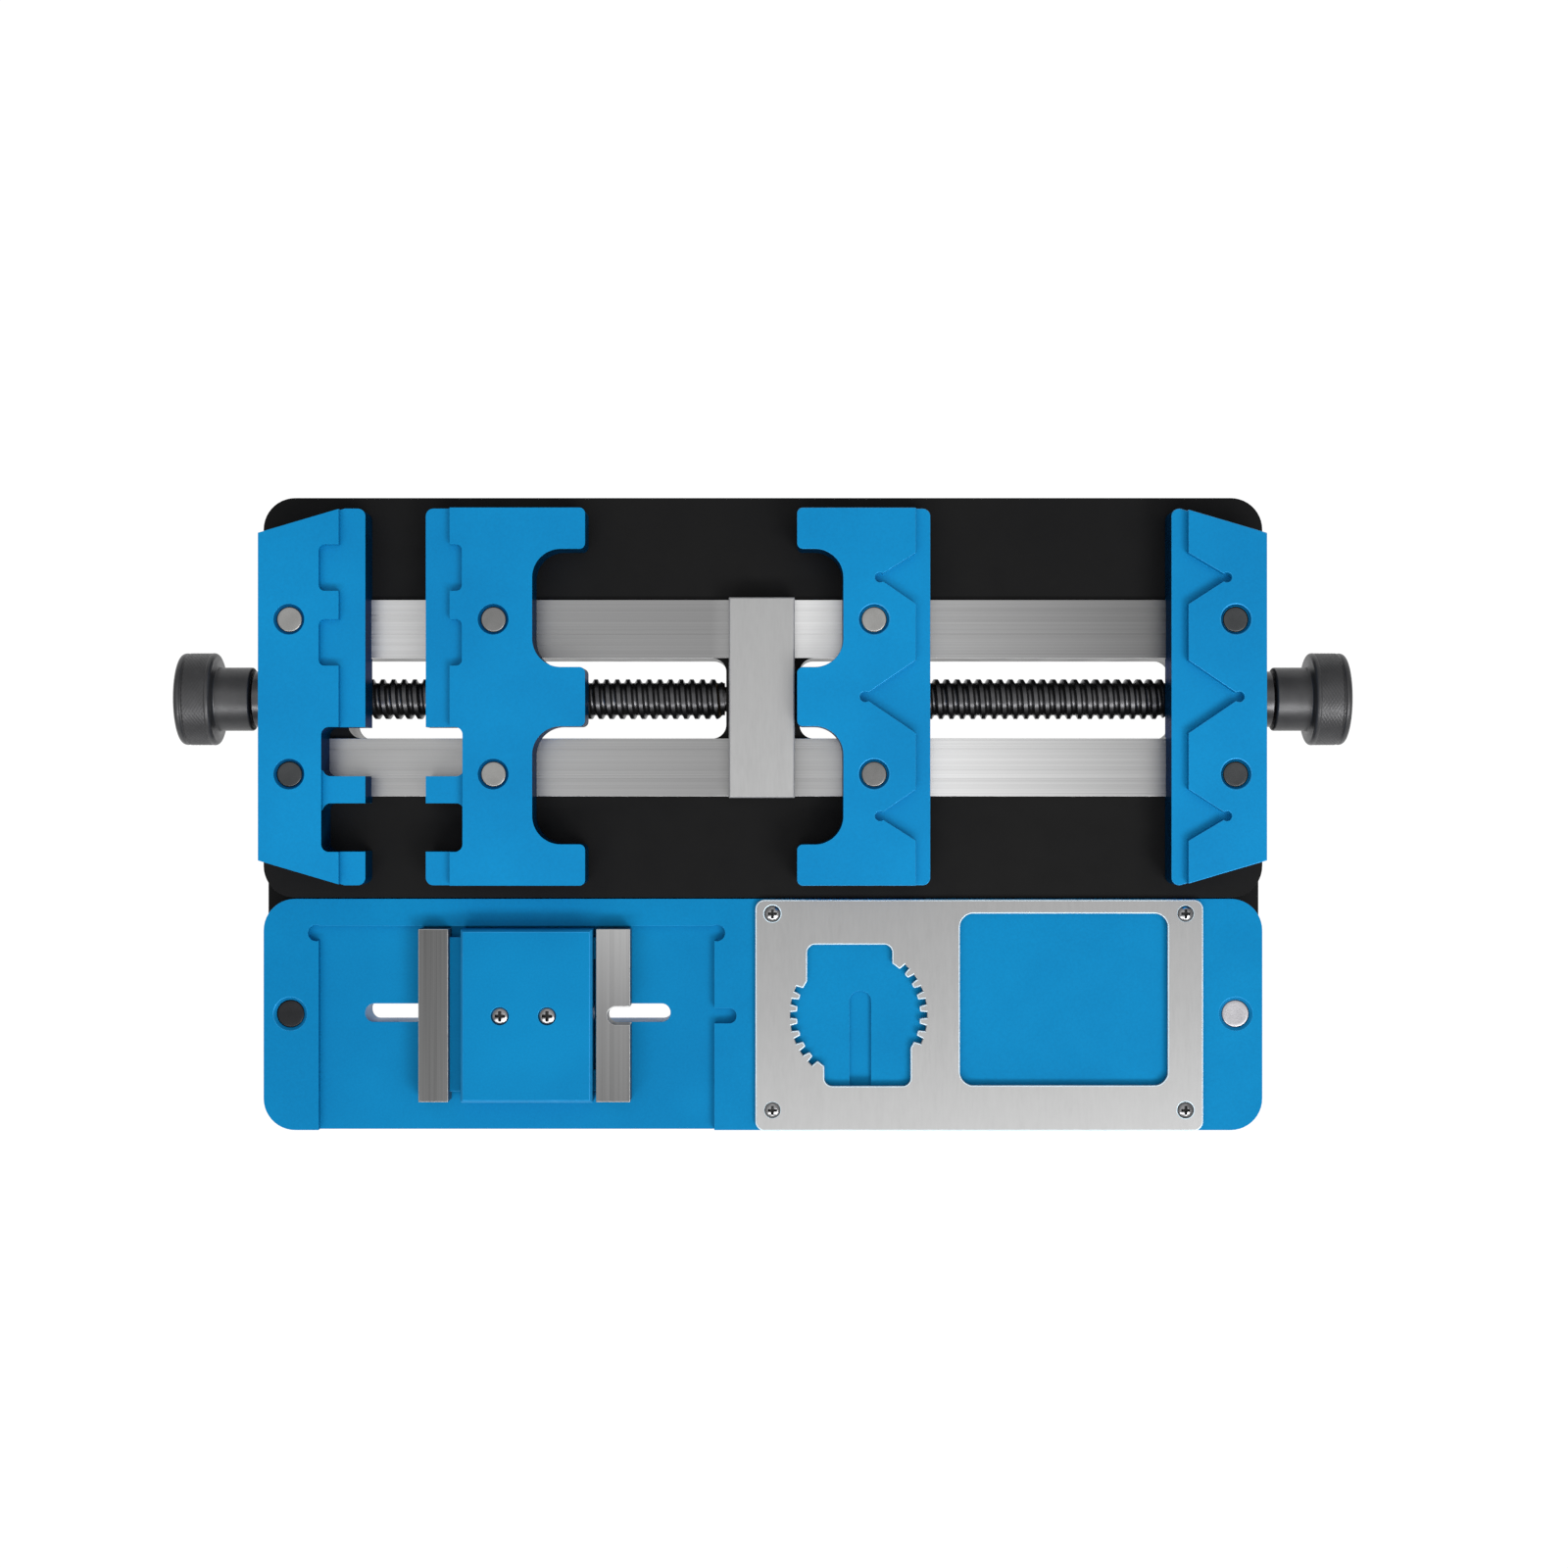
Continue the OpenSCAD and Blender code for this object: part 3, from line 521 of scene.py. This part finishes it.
def broken_edges(node, width, paints, slopes=FACE, shallow=0, sunk=None, outline=False):
    """A copy of a CAD node with broken edges. paints are for its faces, walls and outer rims, and slopes
    says which of them its own chamfers take. Walls within shallow of its top are painted as faces, and
    level faces deeper than sunk as walls. With outline, only edges at its top and bottom are broken."""
    bottom, top = (corner.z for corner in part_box(node))
    shelf = top - shallow
    mesh = cad_mesh(node)
    if outline:
        bmesh.ops.remove_doubles(mesh, verts=mesh.verts, dist=SLIVER)
    edges = [edge for edge in mesh.edges if is_edge(edge)]
    runs = [edges]
    if outline:
        level = [edge for edge in edges
                 if all(min(vert.co.z - bottom, top - vert.co.z) < TINY for vert in edge.verts)]
        runs = groups(level, edges_beside)
    for run in runs:
        bmesh.ops.bevel(mesh, geom=run, offset=width, offset_type="OFFSET", segments=2, profile=0.5,
                        affect="EDGES", clamp_overlap=True, material=RIM, loop_slide=True)
    bmesh.ops.remove_doubles(mesh, verts=mesh.verts, dist=WELD)
    mesh.normal_update()
    if outline:
        same_order(mesh)
    for face in mesh.faces:
        rise = abs(face.normal.z)
        folds = [edge for edge in face.edges
                 if len(edge.link_faces) == 2 and edge.calc_face_angle() > SOFT_FOLD]
        outward = sum(1 if edge.is_convex else -1 for edge in folds)
        if face.material_index == RIM and outward > 0:
            continue
        is_slope = WALL_TILT < rise < SLOPE_TILT and face.material_index != RIM
        height = face.calc_center_median().z
        # Walls below the shelf take the wall paint: on the jaws, that is painted shade.
        is_wall = rise < WALL_TILT and not (shallow and height > shelf)
        # Deep level floors take the wall paint too: in a screw head, the recess's painted shade.
        is_deep = sunk is not None and face.normal.z > LEVEL_TILT and height < top - sunk
        face.material_index = slopes if is_slope else (WALL if is_wall or is_deep else FACE)
    return stand_for(finished(node + "_part", mesh, paints), node)


def revolved(mesh, profile, steps, place, swell=None, material=0):
    """Adds a turned shape to the bmesh: profile is (radius, height) points along local Z, put in place by
    a matrix. swell(turn, row) adds to the radius, with turn from 0 to 1 and row the profile's point."""
    rings = []
    for row, (radius, height) in enumerate(profile):
        if radius == 0:
            rings.append([mesh.verts.new(place @ Vector((0, 0, height)))])
            continue
        ring = []
        for step in range(steps):
            turn = step / steps
            reach = radius + (swell(turn, row) if swell else 0)
            angle = 2 * math.pi * turn
            spot = Vector((reach * math.cos(angle), reach * math.sin(angle), height))
            ring.append(mesh.verts.new(place @ spot))
        rings.append(ring)
    for low, high in zip(rings, rings[1:]):
        for step in range(steps):
            after = (step + 1) % steps
            corners = (low[step % len(low)], low[after % len(low)],
                       high[after % len(high)], high[step % len(high)])
            face = mesh.faces.new(list(dict.fromkeys(corners)))
            face.material_index = material


def along_x(side, node):
    """The place of a turned part on a node's own axis: local Z runs outwards along X from the middle."""
    low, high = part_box(node)
    turn = Vector((side, 0, 0)).to_track_quat("Z", "Y").to_matrix().to_4x4()
    return Matrix.Translation((0, (low.y + high.y) / 2, (low.z + high.z) / 2)) @ turn


def arc(center, radius, start, end, steps):
    """Points of an arc in a profile, angles in degrees from the radius axis towards the height axis."""
    angles = [math.radians(start + (end - start) * step / steps) for step in range(steps + 1)]
    across, up = center
    return [(across + radius * math.cos(angle), up + radius * math.sin(angle)) for angle in angles]


def thread_height(phase):
    """How far the thread stands at a share of its pitch, from 0 at the root to 1 at the crest."""
    from_root = (0.5 - abs(phase % 1 - 0.5)) * 2
    rise = min(1, max(0, (from_root - THREAD_ROOT) / THREAD_FLANK))
    return rise * rise * (3 - 2 * rise)


def lead_screw(node, side):
    """A black lead screw with a right-hand thread between its two journals."""
    low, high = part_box(node)
    crest = (high.z - low.z) / 2
    root = crest - THREAD_DEPTH
    near, far = sorted((abs(low.x), abs(high.x)))
    starts, ends = THREAD_SPAN
    mesh = bmesh.new()
    place = along_x(side, node)
    rows = (math.ceil((ends - starts) / THREAD_PITCH) + THREAD_SPARE) * THREAD_ROWS
    columns = []
    for step in range(THREAD_STEPS + 1):
        turn = step / THREAD_STEPS
        column = []
        for row in range(rows):
            height = starts + (row / THREAD_ROWS - THREAD_SPARE / 2 + turn) * THREAD_PITCH
            height = min(max(height, starts), ends)
            fade = min(1, (height - starts) / THREAD_RUNOUT, (ends - height) / THREAD_RUNOUT)
            radius = root + THREAD_DEPTH * fade * thread_height((height - starts) / THREAD_PITCH - turn)
            angle = 2 * math.pi * turn
            spot = Vector((radius * math.cos(angle), radius * math.sin(angle), height))
            column.append(mesh.verts.new(place @ spot))
        columns.append(column)
    for column, after in zip(columns, columns[1:]):
        for row in range(rows - 1):
            mesh.faces.new((column[row], after[row], after[row + 1], column[row + 1]))
    soft = SCREW_EDGE
    inner = [(0, near), (INNER_JOURNAL - soft, near), (INNER_JOURNAL, near + soft),
             (INNER_JOURNAL, SHOULDER), (root, SHOULDER), (root, starts)]
    revolved(mesh, inner, THREAD_STEPS, place)
    collar = ends + SCREW_COLLAR
    outer = [(root, ends), (crest - soft, ends), (crest, ends + soft), (crest, collar - soft),
             (crest - soft, collar), (OUTER_JOURNAL, collar), (OUTER_JOURNAL, far - soft),
             (OUTER_JOURNAL - soft, far), (0, far)]
    revolved(mesh, outer, THREAD_STEPS, place)
    bmesh.ops.remove_doubles(mesh, verts=mesh.verts, dist=2 * WELD)
    return stand_for(finished(node + "_part", mesh, [OXIDE]), node)


def drilled(name, blank, axis, hole_x):
    """The blank's mesh with the set screw's hole drilled up into its collar."""
    shallow, deep = DRILL_SPAN
    middle = Matrix.Translation((hole_x, axis.y, axis.z - (shallow + deep) / 2))
    drill = bmesh.new()
    bmesh.ops.create_cone(drill, cap_ends=True, segments=HOLE_SIDES, radius1=SET_SCREW_HOLE,
                          radius2=SET_SCREW_HOLE, depth=deep - shallow, matrix=middle)
    tool = finished(name + "_drill", drill, [KNOB])
    cut = blank.modifiers.new("bore", "BOOLEAN")
    cut.object = tool
    cut.solver = "EXACT"
    bpy.context.view_layer.update()
    shaped = bpy.data.meshes.new_from_object(blank.evaluated_get(bpy.context.evaluated_depsgraph_get()))
    result = bmesh.new()
    result.from_mesh(shaped)
    for thing in (blank, tool):
        bpy.data.objects.remove(thing)
    return result


def knob(node, side):
    """A knurled knob with a plain collar and a hole for its set screw."""
    low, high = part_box(node)
    big = (high.z - low.z) / 2
    near, far = sorted((abs(low.x), abs(high.x)))
    band_start, band_end = (far - distance for distance in KNOB_BAND)
    knurl = [(big - KNURL_DEPTH, band_start + (band_end - band_start) * row / KNURL_STEPS)
             for row in range(KNURL_STEPS + 1)]
    small = COLLAR_RADIUS
    back = far - KNOB_LENGTH
    start = [(0, near), (small - COLLAR_ROUND, near)]
    start += arc((small - COLLAR_ROUND, near + COLLAR_ROUND), COLLAR_ROUND, -60, 0, 3)
    start += [(small, back - COLLAR_CORNER), (small + COLLAR_CORNER, back)]
    start += arc((big - KNOB_ROUND, back + KNOB_ROUND), KNOB_ROUND, -90, 0, 5)
    start += [(big, band_start - KNOB_STEP)]
    groove = big - KNOB_GROOVE
    finish = [(groove, band_end + KNOB_STEP), (groove, band_end + KNOB_GROOVE)]
    finish += [(big - KNOB_STEP, band_end + KNOB_GROOVE + 2 * KNOB_STEP)]
    finish += arc((big - KNOB_CROWN - KNOB_STEP, far - KNOB_CROWN_BACK), KNOB_CROWN, 0, 75, 5)
    finish += [(big * share, far - DOME * share * share) for share in DOME_SHARES]
    first = len(start)

    def diamonds(turn, row):
        if not first <= row < first + len(knurl):
            return 0
        across = turn * KNURL_TEETH
        down = (row - first) / KNURL_STEPS * KNURL_ROWS
        tip = min(abs((across + down) % 1 - 0.5), abs((across - down) % 1 - 0.5)) * 2
        return KNURL_DEPTH * tip

    mesh = bmesh.new()
    place = along_x(side, node)
    revolved(mesh, start + knurl + finish, KNURL_TEETH * 4, place, swell=diamonds)
    bmesh.ops.remove_doubles(mesh, verts=mesh.verts, dist=WELD)
    screw_low, screw_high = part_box(node.replace("knob", "set_screw"))
    blank = finished(node + "_blank", mesh, [KNOB])
    bored = drilled(node, blank, place.translation, (screw_low.x + screw_high.x) / 2)
    for face in bored.faces:
        face.material_index = int(abs(face.calc_center_median().x) < back + KNOB_STEP)
    return stand_for(finished(node + "_part", bored, [KNOB, COLLAR], math.radians(50)), node)


def discs(node, paints):
    """Magnets: plated discs, each in its own paint, whose grey is a painted reflection, and with a broken
    edge.
    """
    mesh = bmesh.new()
    soft = DISC_ROUND
    for number, (low, high) in enumerate(islands(node)):
        radius = (high.x - low.x) / 2
        depth = high.z - low.z
        place = Matrix.Translation(((low.x + high.x) / 2, (low.y + high.y) / 2, low.z))
        profile = [(0, 0), (radius, 0), (radius, depth - soft)]
        profile += arc((radius - soft, depth - soft), soft, 20, 90, 3)
        profile += [(radius * DISC_FLAT, depth - DISC_DISH / 2), (0, depth - DISC_DISH)]
        revolved(mesh, profile, ROUND_SIDES, place, material=number)
    return stand_for(finished(node + "_part", mesh, paints), node)


def coil_springs(node):
    """Compression springs of round wire along X, their last turns closed."""
    mesh = bmesh.new()
    for low, high in islands(node):
        radius = (high.z - low.z) / 2 - WIRE
        y, z = (low.y + high.y) / 2, (low.z + high.z) / 2
        open_turn = (high.x - low.x - 2 * WIRE - 2 * CLOSED_TURN) / (SPRING_TURNS - 2)
        rings = []
        for step in range(SPRING_TURNS * SPRING_STEPS + 1):
            turn = step / SPRING_STEPS
            closed = min(turn, 1) + max(turn - SPRING_TURNS + 1, 0)
            x = low.x + WIRE + closed * CLOSED_TURN + (turn - closed) * open_turn
            out = Vector((0, math.cos(2 * math.pi * turn), math.sin(2 * math.pi * turn)))
            ring = []
            for side in range(SPRING_SIDES):
                angle = 2 * math.pi * side / SPRING_SIDES
                reach = radius + WIRE * math.cos(angle)
                ring.append(mesh.verts.new(out * reach + Vector((x + WIRE * math.sin(angle), y, z))))
            rings.append(ring)
        for ring, after in zip(rings, rings[1:]):
            for side in range(SPRING_SIDES):
                beyond = (side + 1) % SPRING_SIDES
                mesh.faces.new((ring[side], after[side], after[beyond], ring[beyond]))
        mesh.faces.new(rings[0])
        mesh.faces.new(rings[-1][::-1])
    made = finished(node + "_part", mesh, [SPRING])
    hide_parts(node)
    low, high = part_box(node)
    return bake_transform(made)


def feet(node):
    """Rubber feet: rounded discs with a shallow hollow moulded into the sole."""
    mesh = bmesh.new()
    for low, high in islands(node):
        radius = (high.x - low.x) / 2
        tall = high.z - low.z
        place = Matrix.Translation(((low.x + high.x) / 2, (low.y + high.y) / 2, low.z))
        inner, middle, outer = (radius * share for share in SOLE_SHARES)
        sole = [(0, SOLE_DEPTH), (inner, SOLE_DEPTH), (middle, SOLE_STEP), (outer, 0)]
        side = arc((radius - FOOT_ROUND, FOOT_ROUND), FOOT_ROUND, -90, 0, 5)
        revolved(mesh, sole + side + [(radius, tall), (0, tall)], ROUND_SIDES, place)
    return stand_for(finished(node + "_part", mesh, [RUBBER], math.radians(60)), node)


# ---------------------------------------------------------------- pieces

for node in ("under_plate", "base_plate"):
    broken_edges(node, PLATE_EDGE, BLACK_SET)
broken_edges("tray", PLATE_EDGE, TRAY_SET, slopes=WALL, shallow=TRAY_LEDGE)
for node in ("left_end_jaw", "right_end_jaw", "left_slide_jaw", "right_slide_jaw"):
    broken_edges(node, JAW_EDGE, JAW_SET, slopes=WALL, shallow=JAW_LEDGE)
broken_edges("clamp_housing", SMALL_EDGE, TRAY_SET, slopes=RIM)
for node in ("left_slider", "right_slider"):
    broken_edges(node, SMALL_EDGE, TRAY_SET)
broken_edges("left_blade", SMALL_EDGE, LEFT_BLADE_SET)
broken_edges("right_blade", SMALL_EDGE, RIGHT_BLADE_SET)
broken_edges("rear_rail", SMALL_EDGE, REAR_RAIL_SET)
broken_edges("front_rail", SMALL_EDGE, FRONT_RAIL_SET)
broken_edges("centre_block", HEAD_EDGE, BLOCK_SET, slopes=RIM)
broken_edges("cover_plate", COVER_EDGE, SATIN_SET, outline=True)
broken_edges("outer_bushes", SMALL_EDGE, (OXIDE,) * 3)
broken_edges("inner_bushes", SMALL_EDGE, (BRONZE,) * 3)
for node in ("left_nut", "right_nut"):
    broken_edges(node, SMALL_EDGE, (BRASS,) * 3)
for node in ("under_plate_screws", "centre_block_screws", "end_jaw_screws", "left_nut_screws",
             "right_nut_screws", "left_set_screw", "right_set_screw"):
    broken_edges(node, HEAD_EDGE, (FASTENER,) * 3)
for node in ("clamp_housing_screws", "cover_plate_screws"):
    broken_edges(node, HEAD_EDGE, HEAD_SET, sunk=HEAD_RECESS)
for side, name in ((-1, "left"), (1, "right")):
    lead_screw(name + "_lead_screw", side)
    knob(name + "_knob", side)
discs("end_jaw_magnets", (DISC_DARK_REFLECTION, DISC_BRIGHT_REFLECTION, DISC_DARK_REFLECTION, DISC_DARK_REFLECTION))
discs("left_jaw_magnets", (DISC_BRIGHT_REFLECTION, DISC_MID_REFLECTION))
discs("right_jaw_magnets", (DISC_MID_REFLECTION, DISC_BRIGHT_REFLECTION))
discs("tray_magnets", (DISC_BLACK_REFLECTION, DISC_PALE_REFLECTION))
coil_springs("left_blade_springs")
coil_springs("right_blade_springs")
feet("rubber_feet")


# ---------------------------------------------------------------- stage

def pale_floor():
    """A pale floor that glows a little, as a light table does, and can be looked through from below."""
    made = bpy.data.meshes.new("floor")
    half = FLOOR_SIZE / 2
    corners = [(-half, -half, 0), (half, -half, 0), (half, half, 0), (-half, half, 0)]
    made.from_pydata(corners, [], [(0, 1, 2, 3)])
    floor = bpy.data.objects.new("floor", made)
    bpy.context.scene.collection.objects.link(floor)
    paint = Paint("pale_floor", rough=0.9, color=(FLOOR_ALBEDO,) * 3, specular=0.0)
    paint.put("Emission Color", (1, 1, 1, 1))
    paint.put("Emission Strength", FLOOR_GLOW)
    side = paint.node("ShaderNodeNewGeometry")
    clear = paint.node("ShaderNodeBsdfTransparent")
    either = paint.node("ShaderNodeMixShader")
    paint.link(side.outputs["Backfacing"], either.inputs["Fac"])
    paint.link(paint.shader.outputs["BSDF"], either.inputs[1])
    paint.link(clear.outputs["BSDF"], either.inputs[2])
    paint.link(either.outputs["Shader"], paint.tree.nodes["Material Output"].inputs["Surface"])
    made.materials.append(paint.material)


def studio_sky():
    """A white sky, brightest overhead and darker towards the horizon."""
    world = bpy.data.worlds.new("studio")
    bpy.context.scene.world = world
    world.use_nodes = True
    tree = world.node_tree
    coords = tree.nodes.new("ShaderNodeTexCoord")
    parts = tree.nodes.new("ShaderNodeSeparateXYZ")
    ramp = tree.nodes.new("ShaderNodeValToRGB")
    tree.links.new(coords.outputs["Generated"], parts.inputs["Vector"])
    tree.links.new(parts.outputs["Z"], ramp.inputs["Fac"])
    tree.links.new(ramp.outputs["Color"], tree.nodes["Background"].inputs["Color"])
    ramp.color_ramp.elements.new(0.5)
    brightest = max(light for rise, light in SKY_STOPS)
    for end, (rise, light) in zip(ramp.color_ramp.elements, SKY_STOPS):
        end.position = rise
        end.color = (light / brightest,) * 3 + (1,)
    tree.nodes["Background"].inputs["Strength"].default_value = brightest


def soft_light(name, place, size, power):
    """An area light turned towards the part's middle; size is its width along X and its depth."""
    light = bpy.data.lights.new(name, "AREA")
    light.shape = "RECTANGLE"
    light.size, light.size_y = size
    light.energy = power
    holder = bpy.data.objects.new(name, light)
    holder.location = place
    holder.rotation_euler = (-Vector(place)).to_track_quat("-Z", "Y").to_euler()
    bpy.context.scene.collection.objects.link(holder)


pale_floor()
studio_sky()
soft_light("key", KEY_PLACE, KEY_SIZE, KEY_POWER)
soft_light("strip", STRIP_PLACE, STRIP_SIZE, STRIP_POWER)

camera_data = bpy.data.cameras.new("camera")
camera_data.lens = CAMERA_LENS
camera_data.clip_start = CAMERA_NEAR
camera = bpy.data.objects.new("camera", camera_data)
camera.location = CAMERA_PLACE
bpy.context.scene.collection.objects.link(camera)
bpy.context.scene.camera = camera
bpy.context.scene.view_settings.view_transform = "Standard"
